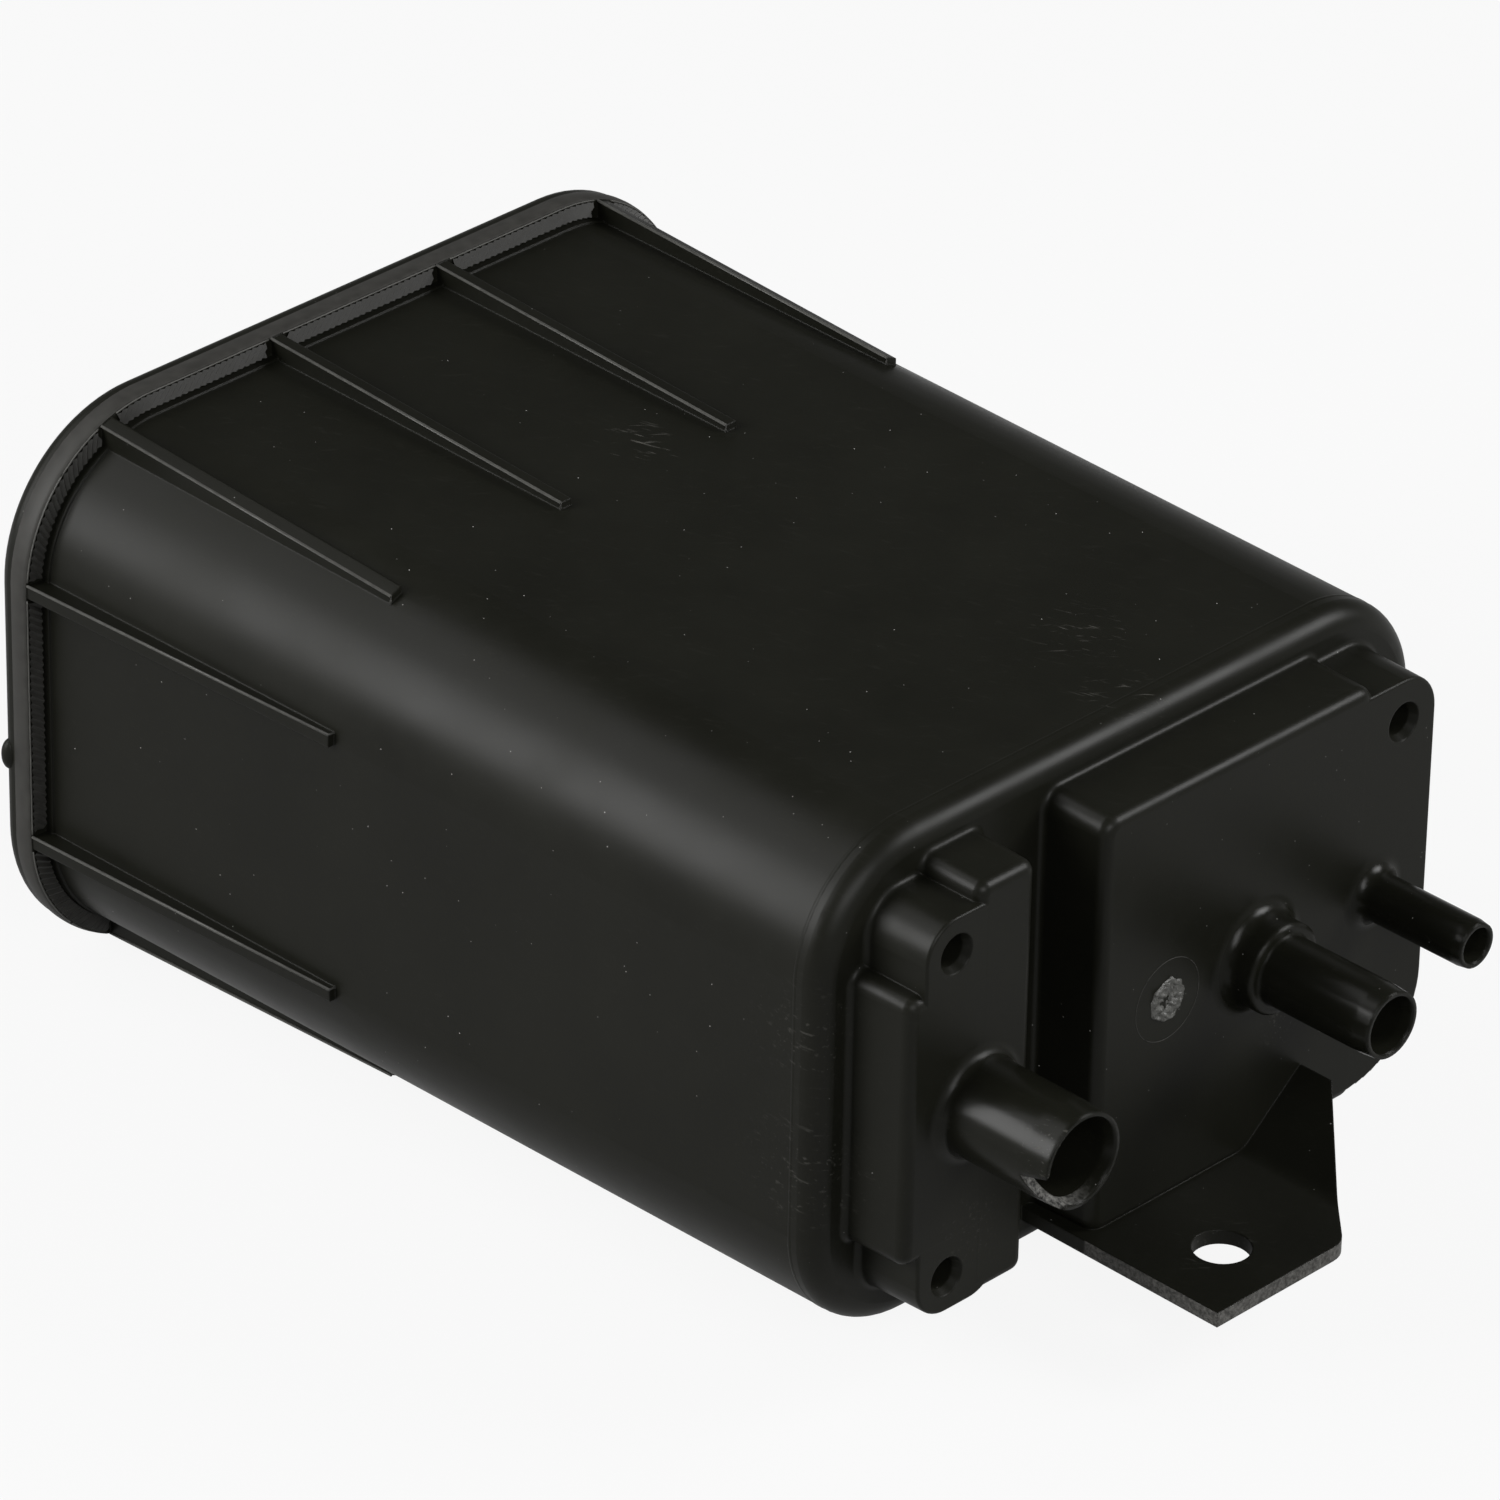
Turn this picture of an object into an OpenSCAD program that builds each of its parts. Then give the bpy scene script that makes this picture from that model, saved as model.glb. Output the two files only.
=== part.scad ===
// Charcoal canister for fuel vapour: a moulded housing with three hose ports,
// closed by a welded end cap, holding two carbon beds between filters.
// Millimetres, +X towards the ports, +Z up, origin under the middle of the object.

/* [Housing] */
// Width at the front face
body_w = 129.8; // [122:0.1:138]
// Height at the front face
body_h = 84.9; // [81:0.1:92]
// Length from the front face to the rear flange
body_len = 166.1; // [150:0.1:190]
// Corner radius at the front face
corner_r = 20.6; // [18:0.1:23]
// Rounding round the front face
nose_r = 4; // [2.5:0.1:4.4]
// Mould draft of the long walls, degrees
draft_deg = 0.79; // [0.3:0.01:1.1]
// Thickness of the outer walls
wall = 2.5; // [2:0.1:3]
// Thickness of the front wall
front_wall = 3; // [2.5:0.1:4]

/* [Rear flange and ribs] */
// How far the flange stands out from the wall
flange_out = 3.35; // [2.5:0.05:4.5]
// Thickness of the housing's half of the flange
flange_t = 3.3; // [2.5:0.1:4.5]
// Length of the low collar in front of the flange
collar_len = 1.6; // [1:0.1:3]
// Height of the low collar
collar_out = 0.3; // [0.2:0.05:0.6]
// Thickness of each rib
rib_t = 2.2; // [1.6:0.1:3]
// Length of each rib forward of the flange
rib_len = 64.8; // [40:0.1:90]
// Height of a rib at its front end
rib_tip_h = 1.2; // [0.6:0.1:2]
// Spacing of the ribs across the top and bottom
rib_pitch_y = 35.6; // [32:0.1:36.5]
// Spacing of the ribs on the two sides
rib_pitch_z = 45.2; // [40:0.1:50]

/* [Vent block] */
// Centre of the vent block and its port, across the width
vent_y = -43.6; // [-44.5:0.1:-43]
// Depth of the vent block in front of the front face
vent_depth = 12; // [9:0.1:15]
// Outer side of the vent block, from the centre plane
vent_outer = 58.5; // [57.5:0.1:59]
// Inner side of the vent block, from the centre plane
vent_inner = 31.9; // [31:0.1:33]
// Left side of the vent block's upper tab, from the centre plane
vent_tab = 44.4; // [43.5:0.1:45]
// Corner radius of the vent block
vent_corner = 2.4; // [2.2:0.1:3]
// Centre of the vent block's screw bosses, from the centre plane
vent_boss_y = 48.9; // [48:0.1:50]

/* [Main block] */
// Depth of the main block in front of the front face
main_depth = 12.5; // [10:0.1:15]
// Left side of the main block, from the centre plane
main_left = 18.4; // [17.5:0.1:19.4]
// Right side of the main block, from the centre plane
main_right = 55.2; // [54:0.1:56]
// Right end of the main block's high part, from the centre plane
main_step = 41.3; // [40:0.1:42]
// Corner radius of the main block
main_corner = 3.2; // [2.4:0.1:4]
// Radius of the main block's lower right corner
main_sweep = 16; // [12:0.5:17]
// Centre of the main block's screw boss, from the centre plane
main_boss_y = 47.6; // [47:0.1:48.4]

/* [Both blocks] */
// Top of both blocks above the centre line
block_top = 37.5; // [36.4:0.1:37.8]
// Half height of the vent block's wide part
step_z = 23.4; // [23:0.1:24.4]
// Height of the screw bosses from the centre line
boss_z = 28; // [27.5:0.1:28.5]
// Outer radius of the vent block's screw bosses
boss_r = 6.5; // [6:0.1:7]
// Diameter of the screw holes
boss_hole_d = 5.2; // [4:0.1:5.6]
// Depth of the screw holes
boss_hole_depth = 9; // [6:0.1:10]
// Diameter of the screw holes at their mouth
boss_mouth_d = 6.7; // [6:0.1:7.4]
// Depth of the tapered mouth
boss_mouth_depth = 1.4; // [0.8:0.1:2]
// Rounding of the front edges
block_edge = 2; // [1:0.1:2.4]
// Rounding of the bosses' front edges
boss_edge = 0.5; // [0.3:0.1:1]
// Fillet round the blocks' feet
block_foot = 1.1; // [0.6:0.1:1.4]
// Draft of the blocks' sides, degrees
block_draft_deg = 1.5; // [0.5:0.1:3]
// Thickness of the blocks' walls
block_wall = 2.5; // [2:0.1:3]

/* [Ports] */
// Outer diameter of the vent port
vent_od = 16; // [14:0.1:17]
// Bore of the vent port
vent_bore = 13; // [10:0.1:13]
// Tip of the vent port in front of the front face
vent_tip = 33.4; // [28:0.1:38]
// Fillet round the vent port's foot
vent_foot = 2; // [1:0.1:3]
// Length of the vent port's narrowed tip
vent_taper = 5; // [2:0.1:8]
// Direction of the broken piece of the vent port's lip, degrees
chip_deg = 210; // [180:1:240]
// Half width of the break as an angle, degrees
chip_half = 30; // [20:1:40]
// Depth of the break at its deepest
chip_depth = 5; // [2:0.1:7]
// Outer diameter of the tank port
tank_od = 11.44; // [10:0.02:13]
// Bore of the tank port
tank_bore = 8.8; // [7:0.1:9]
// Tip of the tank port in front of the front face
tank_tip = 39.8; // [34:0.1:44]
// Tank port centre, from the centre plane
tank_y = 16.5; // [14:0.1:18]
// Fillet round the tank port's foot
tank_foot = 2.5; // [1:0.1:3]
// Length of the tank port's narrowed tip
tank_taper = 3; // [1:0.1:5]
// Diameter of the tank port's collar
tank_collar_d = 15.06; // [14:0.02:16]
// Front of the tank port's collar, from the front face
tank_collar_x = 18.2; // [17:0.1:20]
// Bevel of the collar's front edge
collar_bevel = 0.4; // [0.2:0.1:0.8]
// Outer diameter of the purge port
purge_od = 7.88; // [7:0.02:9]
// Bore of the purge port
purge_bore = 5.2; // [4:0.1:5.6]
// Tip of the purge port in front of the front face
purge_tip = 33.6; // [28:0.1:38]
// Purge port centre, from the centre plane
purge_y = 42.5; // [41:0.1:44]
// Fillet round the purge port's foot
purge_foot = 2.6; // [1:0.1:3]
// Length of the purge port's narrowed tip
purge_taper = 1.6; // [1:0.1:4]
// How much the ports narrow at the tip, on the radius
tip_in = 0.25; // [0.1:0.05:0.5]
// Thickness of the ports' rims
rim_t = 0.65; // [0.5:0.05:1]
// Depth of the opened mouths of the bores
mouth_len = 2; // [1:0.1:4]

/* [Bracket] */
// Thickness of the bracket plate and wing
plate_t = 2.5; // [2:0.1:3.5]
// Top of the plate below the centre line
plate_low = 34.4; // [33.8:0.1:35]
// Front edge of the plate, from the front face
plate_front = 40; // [36:0.1:44]
// Left edge of the plate, from the centre plane
plate_left = 19.9; // [19.5:0.1:22]
// Diameter of the mounting hole
plate_hole_d = 9.2; // [7:0.1:11]
// Mounting hole centre in front of the front face
plate_hole_x = 28.3; // [25:0.1:30]
// Mounting hole centre, from the centre plane
plate_hole_y = 6.3; // [4:0.1:8]
// Right end of the plate's front edge, from the centre plane
plate_right = 7.8; // [6:0.1:10]
// Rounding of the plate's front right corner
plate_corner = 4.5; // [2:0.1:6]
// Line where the wing starts to rise, from the centre plane
fold_y = 15.3; // [14:0.1:17]
// Inner radius of the bend between plate and wing
fold_r = 4; // [2:0.1:6]
// Rise angle of the wing, degrees
wing_deg = 39.2; // [34:0.1:44]
// Outer side of the wing, from the centre plane
wing_out = 27.8; // [26:0.1:30]
// Front end of the wing's outer side, from the front face
wing_tip_x = 19; // [17:0.1:24]

/* [End cap and filling] */
// Thickness of the end cap
cap_t = 3.3; // [2.5:0.1:4.5]
// Rounding of the end cap's rear edge
cap_edge = 2.4; // [1:0.1:2.4]
// Height of the end cap's locating lip
lip_h = 4; // [3:0.1:5]
// Thickness of the locating lip
lip_t = 2; // [1.5:0.1:3]
// Thickness of the wall between the beds
divider_t = 2.5; // [2:0.1:4]
// Thickness of the filter pads
filter_t = 6; // [4:0.1:10]
// Thickness of the spring plates
grid_t = 2.5; // [2:0.1:4]
// Length of the spring space in front of the end cap
spring_space = 20; // [16:0.1:26]
// Mean diameter of the springs
spring_d = 20; // [18:0.1:22]
// Wire diameter of the springs
wire_d = 1.6; // [1.2:0.1:2]
// Height of the springs above and below the centre line
spring_z = 20; // [18:0.1:22]
// Height of the seats that hold the springs
seat_h = 4; // [3:0.1:5]
// Gap round each loose piece
fit_gap = 0.2; // [0.1:0.05:0.4]
// Gap between stacked pieces
stack_gap = 0.1; // [0.05:0.01:0.2]

/* [Hidden] */

$fn = 64;
eps = 0.5;
blend = 0.995;
flush = 0.004;
grain = 0.0001;
draft = tan(draft_deg);
block_draft = tan(block_draft_deg);
core_y = body_w / 2 - corner_r;
core_z = body_h / 2 - corner_r;
rear_x = -body_len;
seam_x = rear_x - flange_t;
back_x = seam_x - cap_t;
front_x = max(plate_front, tank_tip, vent_tip, purge_tip);
flange_r = outer_r(rear_x) + flange_out;
half_h = core_z + flange_r;
rib_tip_x = rear_x + rib_len;
divider_y = -(vent_inner + main_left) / 2;
grid_back = seam_x + spring_space;
grid_front = grid_back + grid_t;
rear_pad_back = grid_front + stack_gap;
rear_pad_front = rear_pad_back + filter_t;
front_pad_front = -front_wall - stack_gap;
front_pad_back = front_pad_front - filter_t;
bed_front = front_pad_back - stack_gap;
bed_back = rear_pad_front + stack_gap;
divider_back = grid_back - seat_h / 2;
main_mid = (body_w / 2 - wall + divider_y + divider_t / 2) / 2;
vent_spring_y = (divider_y - body_w / 2 + wall) / 2;
seat_r = spring_d / 2 - wire_d / 2 - fit_gap * 2;
spring_len = spring_space - 2 * stack_gap;
spring_turns = 5;
window = 5.4;
window_pitch = 8;
window_rim = 3;
inner_edge = 1;
bend_steps = 6;
lip_edge = 0.6;
crisp_edge = 0.1;
chip_steep = 0.72;

// Radius of the corner at a station along X
function outer_r(x) = corner_r - draft * x;
function inner_r(x) = outer_r(x) - wall;

// Move a piece from the front face's centre to the stored origin
module place() {
    translate([-(front_x + back_x) / 2, 0, half_h])
        children();
}

// Build in front view, with depth along X
module along_x() {
    rotate([90, 0, 90])
        children();
}

// A length rounded to the grain, so that neighbouring sections meet exactly
function rounded(v) = round(v / grain) * grain;

// Half section of a wall that narrows forwards to a rounded front edge, with a filleted foot at zero
module edge_section(r, z0, z1, slope, edge, foot = 0) {
    top_r = r - rounded(slope * (z1 - z0));
    toe = rounded(foot * (blend - 1));
    edge_in = rounded(edge * (blend - slope));
    edge_down = rounded(edge * blend);
    difference() {
        polygon([
            [-$inner, z0],
            [r + foot, z0],
            if (foot > 0) [r + foot, toe],
            if (foot > 0) [r, toe + foot],
            [top_r, z1],
            [-$inner, z1]
        ]);
        if (foot > 0)
            translate([r + foot, toe + foot])
                circle(r = foot);
        difference() {
            translate([top_r - edge, z1 - edge])
                square(2 * edge);
            translate([top_r - edge_in, z1 - edge_down])
                circle(r = edge);
        }
    }
}

// Both edges of a slab, with the section at each side
module both_sides(half) {
    $inner = half;
    translate([half, 0])
        children();
    mirror([1, 0])
        translate([half, 0])
            children();
}

// A section turned into a quarter of a round post
module quarter_post() {
    $inner = 0;
    rotate_extrude(angle = 90)
        children();
}

// A rounded box whose corner axes stand at the given half distances
module soft_box(hx, hy) {
    for (q = [0 : 3])
        translate([(q == 0 || q == 3 ? 1 : -1) * hx, (q < 2 ? 1 : -1) * hy, 0])
            rotate([0, 0, 90 * q])
                quarter_post() children();
    rotate([90, 0, 90])
        linear_extrude(2 * hx, center = true)
            both_sides(hy) children();
    rotate([90, 0, 0])
        linear_extrude(2 * hy, center = true)
            both_sides(hx) children();
}

// A block on the front face, between two sides and two heights
module block(left, right, low, high, r, depth, edge = block_edge) {
    translate([(left + right) / 2, (low + high) / 2, 0])
        soft_box((right - left) / 2 - r, (high - low) / 2 - r)
            edge_section(r, -eps, depth, block_draft, edge, block_foot);
}

// A block whose four corners have radii of their own, from the upper right one counterclockwise
module uneven_block(left, right, low, high, radii, depth, edge = block_edge) {
    corners = [[right, high], [left, high], [left, low], [right, low]];
    for (q = [0 : 3]) {
        here = corners[q];
        next = corners[(q + 1) % 4];
        along = (next - here) / norm(next - here);
        start = here + along * radii[q];
        run = norm(next - here) - radii[q] - radii[(q + 1) % 4];
        inward = [-along[1], along[0]];
        translate(concat(start + inward * radii[q], 0))
            rotate([0, 0, 90 * q])
                quarter_post() edge_section(radii[q], -eps, depth, block_draft, edge, block_foot);
        translate(concat(start, 0))
            rotate([0, 0, 90 * q + 180])
                rotate([90, 0, 90])
                    linear_extrude(run)
                        mirror([1, 0])
                            inner_half((q % 2 == 0 ? high - low : right - left) / 2)
                                edge_section(0, -eps, depth, block_draft, edge, block_foot);
    }
}

// A section that reaches inwards by the given length
module inner_half(reach) {
    $inner = reach;
    children();
}

// A screw hole with a tapered mouth and a pointed end
module boss_hole(y, z, depth) {
    r = boss_hole_d / 2;
    mouth_r = boss_mouth_d / 2;
    translate([y, z, depth])
        rotate_extrude()
            polygon([
                [0, eps],
                [mouth_r, eps],
                [mouth_r, 0],
                [r, -boss_mouth_depth],
                [r, -boss_hole_depth],
                [0, -boss_hole_depth - r / 2]
            ]);
}

// A hose port: straight tube with a filleted foot and a slightly narrowed tip
module port(y, od, base, tip, foot, taper, narrow = tip_in) {
    r = od / 2;
    translate([y, 0, 0])
        rotate_extrude()
            difference() {
                polygon([
                    [0, base - eps],
                    [r + foot, base - eps],
                    [r + foot, base],
                    [r, base + foot],
                    [r, tip - taper],
                    [r - narrow, tip],
                    [0, tip]
                ]);
                translate([r + foot, base + foot])
                    circle(r = foot);
            }
}

// The bore of a port, opened to a thin rim at its mouth
module port_bore(y, d, od, tip) {
    mouth_r = od / 2 - tip_in - rim_t;
    translate([y, 0, 0])
        rotate_extrude()
            polygon([
                [0, -front_wall - eps],
                [d / 2, -front_wall - eps],
                [d / 2, tip - mouth_len],
                [mouth_r, tip],
                [mouth_r, tip + eps],
                [0, tip + eps]
            ]);
}

// The piece broken out of the vent port's lip: steep on one side, slanting out on the other
module lip_chip() {
    r = vent_od / 2;
    half = r * sin(chip_half);
    steep = half * chip_steep;
    translate([vent_y, 0, vent_tip])
        rotate([0, 0, chip_deg])
            translate([r / 2, 0, 0])
                rotate([90, 0, 90])
                    linear_extrude(r)
                        polygon([
                            [-half - eps * (half - steep) / chip_depth, eps],
                            [-steep, -chip_depth],
                            [half + eps * (half + steep) / chip_depth, eps]
                        ]);
}

// The outside of the long housing
module outer_shell() {
    soft_box(core_y, core_z)
        edge_section(outer_r(rear_x), rear_x, 0, draft, nose_r);
}

// Rear flange with its low collar
module flange() {
    soft_box(core_y, core_z)
        polygon([
            [-$inner, seam_x],
            [flange_r, seam_x],
            [flange_r, rear_x],
            [outer_r(rear_x) + collar_out, rear_x],
            [outer_r(rear_x) + collar_out, rear_x + collar_len],
            [-$inner, rear_x + collar_len]
        ]);
}

// Ribs that fall away forwards from the flange
module ribs() {
    crest = flange_r - collar_out / 2;
    intersection() {
        soft_box(core_y, core_z)
            polygon([
                [-$inner, rear_x - eps],
                [crest, rear_x - eps],
                [crest, rear_x],
                [outer_r(rib_tip_x) + rib_tip_h, rib_tip_x],
                [-$inner, rib_tip_x]
            ]);
        union() {
            for (i = [-1.5, -0.5, 0.5, 1.5])
                translate([i * rib_pitch_y, 0, rear_x + rib_len / 2])
                    cube([rib_t, 4 * half_h, 2 * rib_len], center = true);
            for (i = [-0.5, 0.5])
                translate([0, i * rib_pitch_z, rear_x + rib_len / 2])
                    cube([2 * body_w, rib_t, 2 * rib_len], center = true);
        }
    }
}

// The vent block with its bosses and its port
module vent_block() {
    boss_left = -vent_boss_y - boss_r;
    boss_end = boss_z + boss_r;
    hidden = -vent_inner - vent_corner - block_edge - eps;
    block(-vent_tab, -vent_inner, -boss_end, block_top, vent_corner, vent_depth);
    block(-vent_outer, hidden, -step_z, step_z, vent_corner, vent_depth - flush);
    for (s = [-1, 1])
        block(boss_left, hidden - eps, min(s * boss_end, 0), max(s * boss_end, 0),
            boss_r, vent_depth - (s > 0 ? 2 : 3) * flush, boss_edge);
    port(vent_y, vent_od, vent_depth, vent_tip, vent_foot, vent_taper);
}

// The main block with its boss and its two ports
module main_block() {
    low = plate_low + plate_t / 2;
    corner = main_right - main_boss_y;
    hidden = main_step - main_sweep - corner;
    block(-main_left, main_step, -low, block_top, main_corner, main_depth);
    uneven_block(hidden, main_right, -plate_low, boss_z + corner,
        [corner, corner, corner, main_sweep], main_depth - flush, boss_edge);
    port(tank_y, tank_collar_d, main_depth, tank_collar_x, tank_foot, collar_bevel, collar_bevel);
    port(tank_y, tank_od, tank_collar_x - block_edge, tank_tip, block_foot, tank_taper);
    port(purge_y, purge_od, main_depth, purge_tip, purge_foot, purge_taper);
}

// Outline of the bracket seen from above, with its front right corner rounded
module bracket_outline() {
    corner = [plate_front, plate_right];
    slant = [wing_tip_x, wing_out] - corner;
    turn = atan2(slant[1], slant[0]);
    trim = plate_corner * tan((turn - 90) / 2);
    union() {
        polygon([
            [-eps, -plate_left],
            [plate_front, -plate_left],
            corner - [0, trim],
            corner + slant / norm(slant) * trim,
            [wing_tip_x, wing_out],
            [-eps, wing_out]
        ]);
        translate(corner - [plate_corner, trim])
            circle(r = plate_corner * blend);
    }
}

// Points of the bend and the wing along the top or the underside of the sheet
function bend_points(r) = [
    for (k = [0 : bend_steps])
        let (a = wing_deg * k / bend_steps)
            [r * sin(a), fold_r - r * cos(a)],
    [0, fold_r]
        + r * [sin(wing_deg), -cos(wing_deg)]
        + plate_front * [cos(wing_deg), sin(wing_deg)]
];

// The bracket: a flat plate, a bend and a wing that slopes up beside the main block
module bracket() {
    bend_y = fold_y - fold_r * tan(wing_deg / 2);
    under = bend_points(fold_r + plate_t);
    difference() {
        intersection() {
            along_x()
                translate([bend_y, -plate_low, -2 * eps])
                    linear_extrude(plate_front + 4 * eps)
                        polygon(concat(
                            [[-bend_y - plate_left - eps, -plate_t], [-bend_y - plate_left - eps, 0]],
                            bend_points(fold_r),
                            [for (k = [len(under) - 1 : -1 : 0]) under[k]]
                        ));
            translate([0, 0, -2 * plate_low])
                linear_extrude(4 * plate_low)
                    bracket_outline();
        }
        translate([plate_hole_x, -plate_hole_y, -plate_low - plate_t - eps])
            cylinder(d = plate_hole_d, h = plate_t + 2 * eps);
    }
}

// The hollow of the housing, less the wall between the beds
module hollow() {
    difference() {
        soft_box(core_y, core_z)
            edge_section(inner_r(seam_x - eps), seam_x - eps, -front_wall, draft, inner_edge);
        translate([divider_y - divider_t / 2, -body_h, divider_back])
            cube([divider_t, 2 * body_h, body_len]);
    }
}

// Air spaces inside the two blocks
module block_spaces() {
    w = block_wall + eps;
    vent_end = vent_depth - block_wall;
    main_end = main_depth - block_wall;
    translate([-vent_outer + w, -step_z + w, -front_wall - eps])
        cube([vent_outer - vent_inner - 2 * w, 2 * step_z - 2 * w, front_wall + eps + vent_end]);
    translate([-main_left + w, -plate_low + w, -front_wall - eps])
        cube([main_step + main_left - 2 * w, block_top + plate_low - 2 * w, front_wall + eps + main_end]);
    translate([main_step - 3 * w, -plate_low + main_sweep, -front_wall - eps])
        cube([main_right - main_step + 2 * w, plate_low - main_sweep + boss_z - boss_mouth_d - w,
            front_wall + eps + main_end]);
}

module canister_body() {
    color([0.05, 0.05, 0.05])
        place()
            difference() {
                union() {
                    along_x() outer_shell();
                    along_x() flange();
                    along_x() ribs();
                    along_x() vent_block();
                    along_x() main_block();
                    bracket();
                }
                along_x() hollow();
                along_x() block_spaces();
                along_x() port_bore(vent_y, vent_bore, vent_od, vent_tip);
                along_x() port_bore(tank_y, tank_bore, tank_od, tank_tip);
                along_x() port_bore(purge_y, purge_bore, purge_od, purge_tip);
                along_x() lip_chip();
                along_x() boss_hole(-vent_boss_y, boss_z, vent_depth);
                along_x() boss_hole(-vent_boss_y, -boss_z, vent_depth);
                along_x() boss_hole(main_boss_y, boss_z, main_depth);
            }
}

// Four seats that centre the springs, standing forwards or backwards
module spring_seats(ys, x, dir) {
    for (y = ys, s = [-1, 1])
        translate([y, s * spring_z, dir > 0 ? x - eps : x - seat_h])
            cylinder(r = seat_r, h = seat_h + eps);
}

module end_cap() {
    lip_r = inner_r(seam_x + lip_h) - fit_gap;
    color([0.06, 0.06, 0.06])
        place()
            along_x() {
                mirror([0, 0, 1])
                    soft_box(core_y, core_z)
                        edge_section(flange_r, -seam_x, -back_x, 0, cap_edge);
                difference() {
                    soft_box(core_y, core_z)
                        edge_section(lip_r, seam_x - eps, seam_x + lip_h, 0, lip_edge);
                    soft_box(core_y, core_z)
                        edge_section(lip_r - lip_t, seam_x, seam_x + lip_h + eps, 0, crisp_edge);
                }
                spring_seats([vent_spring_y, main_mid], seam_x, 1);
            }
}

// A layer that fills one side of the hollow between two stations
module layer(back, front, is_main, front_edge = crisp_edge) {
    edge = divider_y + (is_main ? 1 : -1) * (divider_t / 2 + fit_gap);
    intersection() {
        soft_box(core_y, core_z)
            edge_section(inner_r(back) - fit_gap, back, front, draft, front_edge);
        translate([is_main ? edge : edge - body_w, -body_h, back - eps])
            cube([body_w, 2 * body_h, front - back + 2 * eps]);
    }
}

// True where a window of the spring plate keeps a rim and stays off the spring seats
function window_fits(y, z, mid) =
    norm([max(0, abs(y) + window / 2 - core_y), max(0, abs(z) + window / 2 - core_z)])
        < inner_r(grid_front) - window_rim
    && norm([y - mid, abs(z) - spring_z]) > seat_r + window;

module spring_plate(mid, half, is_main) {
    cols = floor(half / window_pitch);
    rows = floor((body_h / 2 - wall) / window_pitch);
    difference() {
        layer(grid_back, grid_front, is_main);
        for (i = [-cols : cols], j = [-rows : rows])
            if (abs(i * window_pitch) + window / 2 < half - window_rim / 2
                && window_fits(mid + i * window_pitch, j * window_pitch, mid))
                translate([mid + i * window_pitch, j * window_pitch, grid_back])
                    cube([window, window, 4 * grid_t], center = true);
    }
    for (s = [-1, 1])
        translate([mid, s * spring_z, grid_back - seat_h])
            cylinder(r = seat_r, h = seat_h + eps);
}

// A coil spring with closed ends, standing along its own axis
module coil(length) {
    side = 8;
    step = 16;
    rings = spring_turns * step;
    rise = length - wire_d;
    lift = function(t) t < 1 ? t * wire_d
        : t > spring_turns - 1 ? rise - (spring_turns - t) * wire_d
        : wire_d + (t - 1) * (rise - 2 * wire_d) / (spring_turns - 2);
    points = [for (i = [0 : rings], k = [0 : side - 1])
        let (
            turn = i / step,
            r = spring_d / 2 + wire_d / 2 * cos(360 * k / side),
            z = wire_d / 2 + lift(turn) + wire_d / 2 * 0.99 * sin(360 * k / side)
        ) [r * cos(360 * turn), r * sin(360 * turn), z]];
    walls = [for (i = [0 : rings - 1], k = [0 : side - 1])
        let (n = (k + 1) % side, a = i * side, b = a + side)
            each [[a + k, b + k, a + n], [a + n, b + k, b + n]]];
    ends = [
        [for (k = [0 : side - 1]) k],
        [for (k = [side - 1 : -1 : 0]) rings * side + k]
    ];
    polyhedron(points, concat(walls, ends));
}

module spring_at(y, z) {
    place()
        along_x()
            translate([y, z, seam_x + stack_gap])
                coil(spring_len);
}

module main_front_filter() {
    color([0.75, 0.75, 0.72])
        place() along_x() layer(front_pad_back, front_pad_front, true, inner_edge);
}

module main_carbon_bed() {
    color([0.09, 0.09, 0.09])
        place() along_x() layer(bed_back, bed_front, true);
}

module main_rear_filter() {
    color([0.75, 0.75, 0.72])
        place() along_x() layer(rear_pad_back, rear_pad_front, true);
}

module main_spring_plate() {
    color([0.2, 0.2, 0.2])
        place()
            along_x()
                spring_plate(main_mid, body_w / 2 - wall - main_mid, true);
}

module main_upper_spring() {
    color([0.6, 0.6, 0.62])
        spring_at(main_mid, spring_z);
}

module main_lower_spring() {
    color([0.6, 0.6, 0.62])
        spring_at(main_mid, -spring_z);
}

module vent_front_filter() {
    color([0.75, 0.75, 0.72])
        place() along_x() layer(front_pad_back, front_pad_front, false, inner_edge);
}

module vent_carbon_bed() {
    color([0.09, 0.09, 0.09])
        place() along_x() layer(bed_back, bed_front, false);
}

module vent_rear_filter() {
    color([0.75, 0.75, 0.72])
        place() along_x() layer(rear_pad_back, rear_pad_front, false);
}

module vent_spring_plate() {
    color([0.2, 0.2, 0.2])
        place()
            along_x()
                spring_plate(vent_spring_y, body_w / 2 - wall + vent_spring_y, false);
}

module vent_upper_spring() {
    color([0.6, 0.6, 0.62])
        spring_at(vent_spring_y, spring_z);
}

module vent_lower_spring() {
    color([0.6, 0.6, 0.62])
        spring_at(vent_spring_y, -spring_z);
}

canister_body();
end_cap();
main_front_filter();
main_carbon_bed();
main_rear_filter();
main_spring_plate();
main_upper_spring();
main_lower_spring();
vent_front_filter();
vent_carbon_bed();
vent_rear_filter();
vent_spring_plate();
vent_upper_spring();
vent_lower_spring();
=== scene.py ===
"""Charcoal canister: looks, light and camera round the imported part."""
import math

import bmesh
import bpy
from mathutils import Matrix, Vector, noise


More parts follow.
